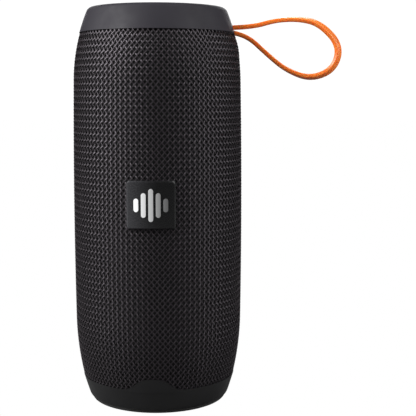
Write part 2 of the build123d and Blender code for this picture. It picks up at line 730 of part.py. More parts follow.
def main_board_parts():
    """Radio, amplifier, charger, inductors, capacitors and connectors on both faces of the board."""
    left, right = -BOARD_HALF, BOARD_HALF
    parts = [
        slab((left - 1.0, left), (10, 18), (78, 86)),
        slab((left - 0.9, left), (9, 16), (91, 98)),
        slab((left - 3.2, left), (8, 14), (114, 120)),
        slab((left - 3.2, left), (8, 14), (122, 128)),
        slab((left - 1.2, left), (19, 25), (90, 102)),
        slab((right, right + PLUG_DEPTH), (6, 12), (126, 134)),
        slab((right, right + 1.1), (20, 26), (70, 76)),
    ]
    for height in SPEAKER_PLUGS.values():
        parts.append(slab((left - PLUG_DEPTH, left), (5, 9), (height - 4, height + 4)))
    for y, z in ((21, 112), (21, 120)):
        parts.append(cross_rod(2.5, left - 6.0, left, y, z))
    return parts


def board_screws():
    """Two screws that hold the main board to the shell's ribs."""
    screws = []
    for low in (BOARD_Z[0] + 0.5, BOARD_Z[1] - 6):
        shank = cross_rod(0.74, -3.6, BOARD_HALF, 25.5, low + 2.5)
        screws.append(shank + cross_rod(1.5, BOARD_HALF, BOARD_HALF + 1.1, 25.5, low + 2.5))
    return screws


CELL_PLACE = Pos(CELL_X, CELL_Y, 0) * Rot(0, 0, math.degrees(math.atan2(CELL_Y, CELL_X)))


def battery_cell():
    """Cylindrical cell with a stepped positive cap."""
    low, high = CELL_Z
    cell = fillet(rod(CELL_RADIUS, low, high - 0.8).edges(), 0.6)
    return Pos(CELL_X, CELL_Y, 0) * (cell + rod(2.8, high - 1.0, high))


def battery_cradle():
    """Half tube with end walls and two feet on the shell's inner wall."""
    low, high = CELL_Z
    inner = CELL_RADIUS + 0.1
    cradle = ring(inner + 1.3, inner, low - 1.5, high + 1.5)
    cradle += rod(inner + 1.3, low - 1.5, low - 0.1) + rod(inner + 1.3, high + 0.1, high + 1.5)
    cradle &= slab((-1.5, FAR), (-FAR, FAR), (0, HEIGHT))
    for foot in (low + 7, high - 15):
        cradle += slab((inner + 0.5, 20), (-4, 4), (foot, foot + 8))
    return (CELL_PLACE * cradle) & barrel(SHELL_IN + 0.05)


def battery_wires():
    """Two leads from the cradle's end walls to the main board's battery connector."""
    low, high = CELL_Z
    plug = BOARD_HALF + PLUG_DEPTH
    plus = [
        (CELL_X, CELL_Y, high + 1.5),
        (CELL_X, CELL_Y, high + 5.5),
        (11.0, 10.5, high + 9.0),
        (plug, 10.5, high + 9.0),
    ]
    minus = [
        (CELL_X, CELL_Y, low - 1.5),
        (CELL_X, CELL_Y, low - 5.5),
        (10.0, 8.0, low - 8.5),
        (4.5, 3.6, low - 3.0),
        (4.0, 3.4, low + 19.0),
        (4.3, 3.6, low + 44.0),
        (5.5, 4.5, low + 64.0),
        (8.4, 6.6, low + 71.5),
        (8.2, 7.5, low + 74.0),
        (plug, 7.5, low + 74.0),
    ]
    return [wire(route, 0.6) for route in (plus, minus)]


def speaker_wires():
    """A pair of leads from a connector on the main board to each driver's terminal ear."""
    wires = []
    ear_back = BAFFLE_FRONT - GASKET - FLANGE + BASKET_DEPTH
    for name, height in DRIVER_HEIGHTS.items():
        plug_height = SPEAKER_PLUGS[name]
        rise = plug_height - height
        for offset in (-1.6, 1.6):
            route = [
                (-18.2, ear_back, height + offset),
                (-18.2, ear_back + 7, height + offset),
                (-18.6, ear_back + 14, height + offset + 0.3 * rise),
                (-12.0, 7.0, plug_height + offset),
                (-BOARD_HALF - PLUG_DEPTH, 7.0, plug_height + offset),
            ]
            wires.append(wire(route, 0.55))
    return wires


# Every node, in the order in which a bench teardown would meet it

NODES = {
    "strap": strap(),
    "strap_anchor": strap_anchor(),
    "strap_pin": strap_pin(),
    "top_cap": top_cap(),
    "base_ring": base_ring(),
    "foot_ring": foot_ring(),
    "fabric_sleeve": fabric_sleeve(),
    "badge_plate": badge_plate(),
    "badge_emblem": badge_emblem(),
    "spine_panel": spine_panel(),
    "light_pipes": light_pipes(),
    "port_cover": port_cover(),
    "port_cover_pin": port_cover_pin(),
    "port_seal": port_seal(),
    "usb_port": usb_port(),
    "audio_jack": audio_jack(),
    "key_board": key_board(),
    "key_switches": key_switches(),
    "indicator_leds": indicator_leds(),
    "microphone": microphone(),
    "front_grille": front_grille(),
    "rear_shell": rear_shell(),
    "front_baffle": front_baffle(),
    "end_frame_screws": end_frame_screws(),
    "main_board": main_board(),
    "main_board_parts": main_board_parts(),
    "board_screws": board_screws(),
    "battery_cell": battery_cell(),
    "battery_cradle": battery_cradle(),
    "internal_wires": battery_wires() + speaker_wires(),
}

for key in BUTTONS:
    NODES[f"button_{key}"] = button(key)

for end, place in END_PLACES.items():
    NODES[f"end_frame_{end}"] = end_frame(end)
    NODES[f"radiator_{end}_surround"] = place * radiator_surround()
    NODES[f"radiator_{end}_diaphragm"] = place * radiator_diaphragm()
    NODES[f"radiator_{end}_weight"] = place * radiator_weight()
    NODES[f"radiator_{end}_clamp"] = place * radiator_clamp()

DRIVER_PLACES = {name: driver_place(height) for name, height in DRIVER_HEIGHTS.items()}
for name, place in DRIVER_PLACES.items():
    NODES[f"driver_{name}_surround"] = place * driver_surround()
    NODES[f"driver_{name}_cone"] = [place * driver_cone(), place * driver_dust_cap()]
    NODES[f"driver_{name}_voice_coil"] = place * driver_voice_coil()
    NODES[f"driver_{name}_spider"] = place * driver_spider()

# The drivers' fixed pieces are identical, so each kind shares a node
NODES["driver_baskets"] = [place * driver_basket() for place in DRIVER_PLACES.values()]
NODES["driver_gaskets"] = [place * driver_gasket() for place in DRIVER_PLACES.values()]
NODES["driver_top_plates"] = [place * driver_top_plate() for place in DRIVER_PLACES.values()]
NODES["driver_magnets"] = [place * driver_magnet() for place in DRIVER_PLACES.values()]
NODES["driver_yokes"] = [place * driver_yoke() for place in DRIVER_PLACES.values()]
corner_screws = [Pos(x, y, 0) * driver_screw() for x, y in driver_screw_places()]
NODES["driver_screws"] = [place * screw for place in DRIVER_PLACES.values() for screw in corner_screws]

os.makedirs("parts", exist_ok=True)
for name, shape in NODES.items():
    solids = Compound(children=shape) if isinstance(shape, list) else shape
    export_step(solids, f"parts/{name}.step")
print(len(NODES), "nodes")
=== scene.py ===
import math

import bmesh
import bpy
import numpy as np
from mathutils import Euler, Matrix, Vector


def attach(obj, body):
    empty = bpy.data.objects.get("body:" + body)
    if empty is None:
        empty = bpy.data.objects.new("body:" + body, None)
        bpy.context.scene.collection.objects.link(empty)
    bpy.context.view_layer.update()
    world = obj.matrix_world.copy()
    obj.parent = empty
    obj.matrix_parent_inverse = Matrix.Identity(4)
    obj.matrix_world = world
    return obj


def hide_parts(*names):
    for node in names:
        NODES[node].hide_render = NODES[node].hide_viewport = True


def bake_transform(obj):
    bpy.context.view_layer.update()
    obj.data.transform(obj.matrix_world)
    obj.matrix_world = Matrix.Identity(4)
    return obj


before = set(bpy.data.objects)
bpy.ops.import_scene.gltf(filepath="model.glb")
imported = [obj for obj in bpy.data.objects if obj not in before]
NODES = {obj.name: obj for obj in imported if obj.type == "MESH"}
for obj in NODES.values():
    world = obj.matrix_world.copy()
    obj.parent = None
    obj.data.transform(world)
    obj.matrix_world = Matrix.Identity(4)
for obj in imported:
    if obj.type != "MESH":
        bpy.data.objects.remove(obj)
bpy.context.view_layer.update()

MM = 0.001
rng = np.random.default_rng(11)

# Barrel outline of part.py, in mm
OUTLINE_LOW = (33.75, 9.2)
SHOULDER_LOW = (37.42, 37.4)
BELLY = (37.78, 91.0)
SHOULDER_HIGH = (37.24, 144.0)
OUTLINE_HIGH = (33.9, 165.2)

# Openings in the sleeve, in mm
CLOTH_LOW = 11.25
CLOTH_HIGH = 164.15
TONGUE_BASE = 11.23
TONGUE_HALF = 13.5
TONGUE_FLAT = 1.6
TONGUE_HEIGHT = 5.2
BADGE_HEIGHT = 91.5
BADGE_HALF = (10.3, 10.1)
BADGE_CORNER = 1.3
SPINE_MIDDLE = 89.5
SPINE_STRAIGHT = 45.0
SPINE_HALF = 8.5
STRAP_Y = 3.0
STRAP_NOTCH = 1.9
STRAP_NOTCH_LOW = 163.1

# Weave, in mm: the number of threads that lean each way, the height in which a thread moves on by one
# place, and a thread's size, mean depth under the CAD sleeve's skin and swing to either side of it
THREADS = 102
ROW = 2.65
ROW_STEPS = 8
YARN_HALF_WIDTH = 0.19
YARN_HALF_THICK = 0.13
YARN_DEPTH = 0.41
YARN_SWING = 0.20

# Unevenness, as shares of a thread's width and of the space between threads
WIDTH_SPREAD = 0.05
PLACE_SPREAD = 0.012

# Texture offset from thread to thread, in mm, and how closely a thread is cut at an opening, in rows
FILAMENT_OFFSET = 3.7
EDGE_HALVINGS = 12
SHORTEST_STEP = 0.004

# Lining behind the threads, and the sleeve's slack below the strap, in mm
SCRIM_DEPTH = 0.84
SCRIM_SKIN = 0.5
SLACK = 0.45
SLACK_HEIGHT = 158.0
SLACK_REACH = 5.0

# Strap, in mm: its route as (x, z) points, its section, and its twist over a share of its length
STRAP_ROUTE = [
    (31.2, 166.8),
    (42.0, 167.0),
    (52.5, 170.0),
    (63.5, 170.7),
    (72.5, 168.5),
    (81.5, 159.0),
    (79.0, 148.5),
    (68.5, 144.0),
    (57.5, 148.0),
    (49.5, 154.5),
    (38.9, 164.3),
    (31.2, 164.85),
]
STRAP_WIDTH = 3.5
STRAP_THICK = 1.95
STRAP_CORNER = 0.55
STRAP_CORNER_STEPS = 4
STRAP_TWIST = math.radians(42)
STRAP_TWIST_START = 0.12
STRAP_TWIST_SHARE = 0.68

# Rubber surrounds in mm, each with two bend radii that are not applied; a radiator's heights go outwards
# from its end
RADIATOR_ENDS = {"top": (162.4, 1), "bottom": (12.8, -1)}
RADIATOR_COLLAR = 5.8
RADIATOR_ROLL = {"middle": 21.6, "roll": 2.1, "thick": 0.6, "land_out": 26.9, "land_in": 17.5}
RADIATOR_BEND = (23.2, 19.6)
DRIVER_HEIGHTS = {"lower": 50.0, "upper": 127.0}
DRIVER_FRONT = -23.9
DRIVER_ROLL = {"middle": 15.9, "roll": 1.6, "thick": 0.5, "land_out": 19.2, "land_in": 12.9}
DRIVER_BEND = (17.1, 14.4)
WEDGES = 20
WEDGE_RINGS = 9
ROLL_OVER_POINTS = 17
ROLL_UNDER_POINTS = 13

# Key symbols, in mm
KEY_TOP = 39.08
KEY_HEIGHTS = {"power": 134.5, "pairing": 121.5, "volume_up": 107.5, "play": 94.5, "volume_down": 81.5}
SYMBOL_SINK = 0.02
SYMBOL_HEIGHT = 0.08
FINE_LINE = 0.38
ROUND_LINE = 0.42
PLAIN_LINE = 0.5
THICK_LINE = 0.55
SIGN_HALF = 1.9
WAVE_CENTRE = (-1.2, 0)
WAVE_REACH = 50

# Angle above which an edge is creased, and the distance in metres within which points are merged
CREASE = math.radians(40)
MERGE = 1e-7

# Studio: floor and the lights' aim in metres, and the strengths of the room's light and the backdrop
FLOOR_HALF = 6.0
FLOOR_DROP = 0.0002
AIM = Vector((0, 0, 0.09))
ROOM_LIGHT = 0.06
BACKDROP_LIGHT = 1.05

# Camera: place in mm, angles in degrees, lens and sensor in mm
CAMERA_PLACE = (35.1, -440.2, 135.6)
CAMERA_TILT = 6.40
CAMERA_TURN = 1.63
LENS = 84.74
SENSOR = 36.0


# ---------------------------------------------------------------- helpers


def new_object(name, mesh, material, smooth=True):
    obj = bpy.data.objects.new(name, mesh)
    bpy.context.scene.collection.objects.link(obj)
    mesh.materials.append(material)
    if smooth:
        mesh.polygons.foreach_set("use_smooth", np.ones(len(mesh.polygons), dtype=bool))
    return obj


def quad_mesh(name, points, quads):
    """Mesh from points in mm and quads, both as arrays."""
    mesh = bpy.data.meshes.new(name)
    points = np.asarray(points, dtype=np.float32) * MM
    quads = np.asarray(quads, dtype=np.int32)
    mesh.vertices.add(len(points))
    mesh.vertices.foreach_set("co", points.ravel())
    mesh.loops.add(quads.size)
    mesh.loops.foreach_set("vertex_index", quads.ravel())
    mesh.polygons.add(len(quads))
    mesh.polygons.foreach_set("loop_start", np.arange(0, quads.size, 4, dtype=np.int32))
    mesh.update(calc_edges=True)
    return mesh


def tube_quads(rings, sides, first=0, capped=False):
    """Quads of a tube of rings; a tube of four sides can have its ends capped."""
    ring = np.arange(rings - 1)[:, None] * sides + first
    side = np.arange(sides)[None, :]
    nxt = (side + 1) % sides
    quads = np.stack([ring + side, ring + nxt, ring + sides + nxt, ring + sides + side], axis=-1)
    quads = quads.reshape(-1, 4)
    if capped:
        last = first + (rings - 1) * 4
        ends = [[first + 3, first + 2, first + 1, first], [last, last + 1, last + 2, last + 3]]
        quads = np.vstack([quads, ends])
    return quads


def solid_mesh(name, bm):
    """Mesh of a bmesh, with doubled points merged and its faces turned outwards."""
    bmesh.ops.remove_doubles(bm, verts=bm.verts, dist=MERGE)
    bmesh.ops.recalc_face_normals(bm, faces=bm.faces)
    mesh = bpy.data.meshes.new(name)
    bm.to_mesh(mesh)
    bm.free()
    return mesh


def capped_tube(name, points, sides):
    """Tube through rings of points in mm, with a flat face at each end."""
    points = np.asarray(points, dtype=float)
    wall = quad_mesh("wall", points, tube_quads(len(points) // sides, sides))
    first_ring = list(range(sides))
    last_ring = list(range(len(points) - sides, len(points)))
    caps = bpy.data.meshes.new("caps")
    caps.from_pydata((points * MM).tolist(), [], [first_ring[::-1], last_ring])
    bm = bmesh.new()
    bm.from_mesh(wall)
    bm.from_mesh(caps)
    return solid_mesh(name, bm)


def crease(mesh):
    """Marks open edges and edges above the crease angle as sharp."""
    bm = bmesh.new()
    bm.from_mesh(mesh)
    for edge in bm.edges:
        if len(edge.link_faces) != 2 or edge.calc_face_angle(0) > CREASE:
            edge.smooth = False
    bm.to_mesh(mesh)
    bm.free()


def by_camera(tree, lit, seen, output):
    """Shows one shader to the camera and lets the other take part in the lighting."""
    path = tree.nodes.new("ShaderNodeLightPath")
    choice = tree.nodes.new("ShaderNodeMixShader")
    tree.links.new(path.outputs["Is Camera Ray"], choice.inputs[0])
    tree.links.new(lit.outputs[0], choice.inputs[1])
    tree.links.new(seen.outputs[0], choice.inputs[2])
    tree.links.new(choice.outputs[0], tree.nodes[output].inputs["Surface"])


# ---------------------------------------------------------------- materials


class Finish:
    """Node material built round one Principled shader."""

    def __init__(self, name, color, roughness, metallic=0.0, **sockets):
        self.material = bpy.data.materials.new(name)
        self.material.use_nodes = True
        self.tree = self.material.node_tree
        self.shader = self.tree.nodes["Principled BSDF"]
        self.color = color
        self.shader.inputs["Base Color"].default_value = (*color, 1)
        self.shader.inputs["Roughness"].default_value = roughness
        self.shader.inputs["Metallic"].default_value = metallic
        for key, value in sockets.items():
            self.shader.inputs[key.replace("_", " ")].default_value = value
        self.coords = self.tree.nodes.new("ShaderNodeTexCoord")

    def noise(self, scale, detail, grit=0.55, stretch=(1, 1, 1), coords="Object"):
        """Noise value in object or UV coordinates, finer along the axes with a larger stretch."""
        mapping = self.tree.nodes.new("ShaderNodeMapping")
        mapping.inputs["Scale"].default_value = stretch
        self.tree.links.new(self.coords.outputs[coords], mapping.inputs["Vector"])
        noise = self.tree.nodes.new("ShaderNodeTexNoise")
        noise.inputs["Scale"].default_value = scale
        noise.inputs["Detail"].default_value = detail
        noise.inputs["Roughness"].default_value = grit
        self.tree.links.new(mapping.outputs["Vector"], noise.inputs["Vector"])
        return noise.outputs["Fac"]

    def ramp(self, value, low, high, start=0.3, end=0.7):
        """Maps a value from start..end to low..high."""
        node = self.tree.nodes.new("ShaderNodeMapRange")
        node.inputs["From Min"].default_value = start
        node.inputs["From Max"].default_value = end
        node.inputs["To Min"].default_value = low
        node.inputs["To Max"].default_value = high
        self.tree.links.new(value, node.inputs["Value"])
        return node.outputs["Result"]

    def tint(self, value, dark, light):
        """Base colour between two multiples of the finish's own colour."""
        mix = self.tree.nodes.new("ShaderNodeMix")
        mix.data_type = "RGBA"
        low, high = [s for s in mix.inputs if s.type == "RGBA"]
        low.default_value = (*[c * dark for c in self.color], 1)
        high.default_value = (*[min(c * light, 1.0) for c in self.color], 1)
        self.tree.links.new(value, mix.inputs["Factor"])
        out = [s for s in mix.outputs if s.type == "RGBA"][0]
        self.tree.links.new(out, self.shader.inputs["Base Color"])

    def rough(self, value, low, high):
        """Roughness between two values."""
        self.tree.links.new(self.ramp(value, low, high), self.shader.inputs["Roughness"])

    def relief(self, value, depth):
        """Bump of a depth in mm."""
        node = self.tree.nodes.new("ShaderNodeBump")
        node.inputs["Strength"].default_value = 1.0
        node.inputs["Distance"].default_value = depth * MM
        self.tree.links.new(value, node.inputs["Height"])
        self.tree.links.new(node.outputs["Normal"], self.shader.inputs["Normal"])


def moulded(name, color, roughness, grain=1800, depth=0.02, mottle=0.12, swing=0.08, **sockets):
    """Moulded plastic or rubber: fine spark-eroded grain, slow colour drift and uneven sheen."""
    f = Finish(name, color, roughness, **sockets)
    drift = f.noise(scale=45, detail=4)
    sheen = f.noise(scale=130, detail=3)
    f.tint(f.ramp(drift, 0, 1), 1 - mottle, 1 + mottle)
    f.rough(sheen, roughness - swing, roughness + swing)
    f.relief(f.noise(grain, detail=2), depth)
    return f.material


def brushed(name, color, roughness, stretch=(8, 8, 0.25), scale=900, depth=0.006, **sockets):
    """Brushed or drawn metal with its lines along the axis of the smallest stretch."""
    f = Finish(name, color, roughness, metallic=1.0, **sockets)
    lines = f.noise(scale, detail=3, grit=0.6, stretch=stretch)
    f.tint(f.ramp(lines, 0, 1), 0.86, 1.08)
    f.rough(lines, roughness - 0.07, roughness + 0.12)
    f.relief(lines, depth)
    return f.material


def painted_side_light(name, color, roughness, across, power, dark, light, **sockets):
    """Satin finish with a painted highlight: the colour goes evenly from light at across[0] to dark at
    across[1], in mm along X, as if lit from the across[0] side.
    """
    f = Finish(name, color, roughness, **sockets)
    split = f.tree.nodes.new("ShaderNodeSeparateXYZ")
    f.tree.links.new(f.coords.outputs["Object"], split.inputs[0])
    # Painted highlight: 1 at across[0], falling to 0 at across[1].
    side = f.ramp(split.outputs["X"], 1.0, 0.0, across[0] * MM, across[1] * MM)
    curve = f.tree.nodes.new("ShaderNodeMath")
    curve.operation = "POWER"
    curve.inputs[1].default_value = power
    f.tree.links.new(side, curve.inputs[0])
    f.tint(curve.outputs[0], dark, light)
    lines = f.noise(scale=900, detail=3, grit=0.6, stretch=(0.25, 8, 8))
    f.rough(lines, roughness - 0.06, roughness + 0.1)
    f.relief(lines, 0.004)
    return f.material


def yarn(name, color, roughness):
    """Multifilament yarn: fine filaments along each thread and uneven dye."""
    f = Finish(name, color, roughness, Sheen_Weight=0.02, Sheen_Roughness=0.4, Specular_IOR_Level=0.65,
               Specular_Tint=(1.0, 0.90, 1.0, 1))
    filaments = f.noise(scale=1.0, detail=3, grit=0.6, stretch=(2.2, 26.0, 1.0), coords="UV")
    dye = f.noise(scale=120, detail=3)
    shade = f.tree.nodes.new("ShaderNodeMath")
    shade.operation = "ADD"
    f.tree.links.new(f.ramp(filaments, 0, 0.65), shade.inputs[0])
    f.tree.links.new(f.ramp(dye, 0, 0.35), shade.inputs[1])
    f.tint(shade.outputs[0], 0.55, 1.45)
    f.rough(filaments, roughness - 0.08, roughness + 0.12)
    f.relief(filaments, 0.05)
    return f.material


# ---------------------------------------------------------------- camera

camera_data = bpy.data.cameras.new("camera")
camera_data.lens = LENS
camera_data.sensor_width = SENSOR
camera_data.clip_start = 0.01
camera = bpy.data.objects.new("camera", camera_data)
camera.location = [c * MM for c in CAMERA_PLACE]
camera.rotation_euler = Euler((math.radians(90 - CAMERA_TILT), 0, math.radians(CAMERA_TURN)))
bpy.context.scene.collection.objects.link(camera)
bpy.context.scene.camera = camera

# ---------------------------------------------------------------- strap


def strap_line():
    """Ring centres read from the route's NURBS spline, in metres."""
    curve = bpy.data.curves.new("strap_route", "CURVE")
    curve.dimensions = "3D"
    curve.resolution_u = 16
    spline = curve.splines.new("NURBS")
    spline.points.add(len(STRAP_ROUTE) - 1)
    for point, (x, z) in zip(spline.points, STRAP_ROUTE):
        point.co = (x * MM, STRAP_Y * MM, z * MM, 1)
    spline.order_u = 3
    spline.use_endpoint_u = True
    holder = bpy.data.objects.new("strap_route", curve)
    bpy.context.scene.collection.objects.link(holder)
    bpy.context.view_layer.update()
    mesh = bpy.data.meshes.new_from_object(holder)
    points = np.array([v.co for v in mesh.vertices])
    bpy.data.objects.remove(holder)
    bpy.data.meshes.remove(mesh)
    return points


def strap_section():
    """Section with rounded corners, as (across the width, across the thickness) in mm."""
    points = []
    for quarter in range(4):
        cx = (STRAP_WIDTH / 2 - STRAP_CORNER) * (1 if quarter in (0, 3) else -1)
        cy = (STRAP_THICK / 2 - STRAP_CORNER) * (1 if quarter in (0, 1) else -1)
        for step in range(STRAP_CORNER_STEPS + 1):
            angle = math.radians(90 * quarter + 90 / STRAP_CORNER_STEPS * step)
            points.append((cx + STRAP_CORNER * math.cos(angle), cy + STRAP_CORNER * math.sin(angle)))
    return points


def build_strap():
    """Flat band along the route, turned on itself a little round the loop."""
    line = strap_line() / MM
    tangents = np.gradient(line, axis=0)
    tangents /= np.linalg.norm(tangents, axis=1)[:, None]
    steps = np.linalg.norm(np.diff(line, axis=0), axis=1)
    along = np.concatenate([[0], np.cumsum(steps)])
    length = along[-1]
    share = np.clip(along / length, 0, 1)
    turned = np.clip((share - STRAP_TWIST_START) / STRAP_TWIST_SHARE, 0, 1)
    twist = STRAP_TWIST * np.sin(math.pi * turned) ** 2
    section = strap_section()
    across = np.array([0.0, 1.0, 0.0])
    points = []
    for centre, tangent, turn in zip(line, tangents, twist):
        thick = np.cross(tangent, across)
        wide_way = across * math.cos(turn) + thick * math.sin(turn)
        thick_way = thick * math.cos(turn) - across * math.sin(turn)
        points += [centre + wide_way * u + thick_way * v for u, v in section]
    f = Finish("strap elastomer", (0.76, 0.196, 0.025), 0.36, Specular_IOR_Level=0.4, Subsurface_Weight=0.8,
               Subsurface_Radius=(0.9, 0.7, 0.5), Subsurface_Scale=0.0025)
    f.tint(f.ramp(f.noise(scale=60, detail=4), 0, 1), 0.93, 1.06)
    f.rough(f.noise(scale=250, detail=3), 0.30, 0.40)
    f.relief(f.noise(scale=700, detail=2), 0.0008)
    obj = new_object("strap_band", capped_tube("strap_band", points, len(section)), f.material)
    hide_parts("strap")
    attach(obj, "housing")


build_strap()

# ---------------------------------------------------------------- barrel surface


def circle_through(a, b, c):
    """Centre and radius of the circle through three (radius, height) points."""
    (ax, ay), (bx, by), (cx, cy) = a, b, c
    d = 2 * (ax * (by - cy) + bx * (cy - ay) + cx * (ay - by))
    sa, sb, sc = ax * ax + ay * ay, bx * bx + by * by, cx * cx + cy * cy
    ux = (sa * (by - cy) + sb * (cy - ay) + sc * (ay - by)) / d
    uy = (sa * (cx - bx) + sb * (ax - cx) + sc * (bx - ax)) / d
    return (ux, uy), math.hypot(ax - ux, ay - uy)


def tangent_circle(centre, start, end):
    """Centre and radius of the circle that leaves start smoothly and passes through end."""
    nx, ny = centre[0] - start[0], centre[1] - start[1]
    size = math.hypot(nx, ny)
    nx, ny = nx / size, ny / size
    dx, dy = end[0] - start[0], end[1] - start[1]
    radius = (dx * dx + dy * dy) / (2 * (dx * nx + dy * ny))
    return (start[0] + nx * radius, start[1] + ny * radius), radius


BELLY_ARC = circle_through(SHOULDER_LOW, BELLY, SHOULDER_HIGH)
LOW_ARC = tangent_circle(BELLY_ARC[0], SHOULDER_LOW, OUTLINE_LOW)
HIGH_ARC = tangent_circle(BELLY_ARC[0], SHOULDER_HIGH, OUTLINE_HIGH)


def barrel_radius(z):
    """Radius of the sleeve's outer surface at heights z, in mm."""
    z = np.asarray(z, dtype=float)

    def on(circle):
        (cx, cz), radius = circle
        return cx + np.sqrt(np.maximum(radius**2 - (z - cz) ** 2, 0))

    above_low = np.where(z > SHOULDER_HIGH[1], on(HIGH_ARC), on(BELLY_ARC))
    return np.where(z < SHOULDER_LOW[1], on(LOW_ARC), above_low)


def tongue_top(x):
    """Height of the base's raised front edge at sideways places x."""
    half_way = (TONGUE_HALF + TONGUE_FLAT) / 2
    run = TONGUE_HALF - half_way
    radius = (run**2 + (TONGUE_HEIGHT / 2) ** 2) / TONGUE_HEIGHT
    x = np.abs(x)

    def rise(distance):
        return np.sqrt(np.maximum(radius**2 - np.clip(distance, 0, run) ** 2, 0))

    foot = radius - rise(TONGUE_HALF - x)
    crown = TONGUE_HEIGHT - radius + rise(x - TONGUE_FLAT)
    return TONGUE_BASE + np.where(x > half_way, foot, crown)


def covered(p):
    """True for points where the sleeve is cut away."""
    x, y, z = p[..., 0], p[..., 1], p[..., 2]
    qx = np.abs(x) - (BADGE_HALF[0] - BADGE_CORNER)
    qz = np.abs(z - BADGE_HEIGHT) - (BADGE_HALF[1] - BADGE_CORNER)
    corner = np.hypot(np.maximum(qx, 0), np.maximum(qz, 0)) + np.minimum(np.maximum(qx, qz), 0)
    badge = (y < 0) & (corner < BADGE_CORNER)
    tongue = (y < 0) & (z < tongue_top(x))
    end = np.maximum(np.abs(z - SPINE_MIDDLE) - SPINE_STRAIGHT, 0)
    spine = (y > 0) & (np.hypot(x, end) < SPINE_HALF)
    notch = (x > 0) & (np.abs(y - STRAP_Y) < STRAP_NOTCH) & (z > STRAP_NOTCH_LOW)
    return badge | tongue | spine | notch


def fullness(turn, z):
    """Slack of the sleeve below the strap, in mm."""
    side = np.maximum(np.sin(turn), 0) ** 2
    return SLACK * side * np.exp(-(((z - SLACK_HEIGHT) / SLACK_REACH) ** 2))


def weave_point(number, rising, row, depth):
    """Point of a thread at a row count, at a depth under the sleeve's outer surface."""
    turn = (number + row if rising else number - row) * 2 * math.pi / THREADS
    z = CLOTH_LOW + row * ROW
    r = barrel_radius(z) + fullness(turn, z) - depth
    return np.stack([r * np.sin(turn), -r * np.cos(turn), z], axis=-1)


def thread_depth(rising, row):
    """Plain weave: a thread passes over and under in turn at its crossings, two in each row."""
    swing = YARN_SWING * np.cos(2 * math.pi * row)
    return YARN_DEPTH - swing if rising else YARN_DEPTH + swing


def open_runs(number, rising, rows):
    """Row counts of each uncovered run of a thread, cut to end at the opening's edge."""
    hidden = covered(weave_point(number, rising, rows, YARN_DEPTH))

    def edge(shown, gone):
        for _ in range(EDGE_HALVINGS):
            middle = (shown + gone) / 2
            if covered(weave_point(number, rising, np.array([middle]), YARN_DEPTH))[0]:
                gone = middle
            else:
                shown = middle
        return shown

    runs = []
    changes = np.flatnonzero(np.diff(hidden.astype(int))) + 1
    for part in np.split(np.arange(len(rows)), changes):
        if hidden[part[0]]:
            continue
        run = list(rows[part])
        if part[0] > 0:
            run.insert(0, edge(rows[part[0]], rows[part[0] - 1]))
        if part[-1] < len(rows) - 1:
            run.append(edge(rows[part[-1]], rows[part[-1] + 1]))
        run = np.array(run)
        keep = np.concatenate([[True], np.diff(run) > SHORTEST_STEP])
        if keep.sum() > 2:
            runs.append(run[keep])
    return runs


def weave(name, rising, numbers, material):
    """Half of the threads that lean one way, as closed flat tubes."""
    rows_up = (CLOTH_HIGH - CLOTH_LOW) / ROW
    rows = np.append(np.arange(0, rows_up, 1 / ROW_STEPS), rows_up)
    points, quads, uvs, first = [], [], [], 0
    for number in numbers:
        wide = YARN_HALF_WIDTH * (1 + WIDTH_SPREAD * rng.standard_normal())
        shift = PLACE_SPREAD * rng.standard_normal()
        for run in open_runs(number, rising, rows):
            centre = weave_point(number + shift, rising, run, thread_depth(rising, run))
            tangent = np.gradient(centre, axis=0)
            tangent /= np.linalg.norm(tangent, axis=1)[:, None]
            slope = (barrel_radius(centre[:, 2] + 0.5) - barrel_radius(centre[:, 2] - 0.5))[:, None]
            flat = centre[:, :2] / np.linalg.norm(centre[:, :2], axis=1)[:, None]
            outward = np.hstack([flat, -slope])
            side = np.cross(tangent, outward)
            side /= np.linalg.norm(side, axis=1)[:, None]
            outward = np.cross(side, tangent)
            up, across = outward * YARN_HALF_THICK, side * wide
            ring = [centre + up - across, centre + up + across, centre - up + across, centre - up - across]
            points.append(np.stack(ring, axis=1).reshape(-1, 3))
            quads.append(tube_quads(len(run), 4, first, capped=True))
            along = np.repeat(run, 4) * ROW
            around = np.tile(np.arange(4) / 4, len(run))
            uvs.append(np.stack([along + number * FILAMENT_OFFSET, around], axis=-1))
            first += len(run) * 4
    points, quads, uvs = np.vstack(points), np.vstack(quads), np.vstack(uvs)
    mesh = quad_mesh(name, points, quads)
    layer = mesh.uv_layers.new(name="UVMap")
    corners = uvs[quads]
    # The side that closes a thread's ring runs on past the texture's edge
    wrap = (corners[:, :, 1].max(axis=1) - corners[:, :, 1].min(axis=1)) > 0.6
    low = corners[:, :, 1] < 0.1
    corners[:, :, 1] += np.where(wrap[:, None] & low, 1.0, 0.0)
    layer.data.foreach_set("uv", corners.reshape(-1).astype(np.float32))
    obj = new_object(name, mesh, material)
    mesh.set_sharp_from_angle(angle=CREASE)
    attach(obj, "housing")
    return obj


def scrim():
    """Lining behind the yarn: the CAD sleeve with its outer skin drawn in, near-black so that it also
    stands as painted shade in the holes of the weave.
    """
    mesh = NODES["fabric_sleeve"].data.copy()
    mesh.name = "sleeve_scrim"
    co = np.zeros(len(mesh.vertices) * 3, dtype=np.float32)
    mesh.vertices.foreach_get("co", co)
    co = co.reshape(-1, 3).astype(float)
    radius = np.hypot(co[:, 0], co[:, 1])
    depth = barrel_radius(co[:, 2] / MM) * MM - radius
    moved = np.clip(SCRIM_DEPTH * MM - depth, 0, None) * (depth < SCRIM_SKIN * MM)
    co[:, :2] *= ((radius - moved) / radius)[:, None]
    mesh.vertices.foreach_set("co", co.astype(np.float32).ravel())
    mesh.materials.clear()
    # Near-black: the lining's own dark tone, made darker still as painted shade for the holes between the
    # threads.
    f = Finish("sleeve scrim, painted hole shade", (0.006, 0.006, 0.007), 0.9)
    cells = f.noise(scale=1500, detail=2)
    f.tint(f.ramp(cells, 0, 1), 0.4, 1.6)
    f.relief(cells, 0.05)
    obj = new_object("sleeve_scrim", mesh, f.material, smooth=False)
    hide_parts("fabric_sleeve")
    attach(obj, "housing")
    return obj
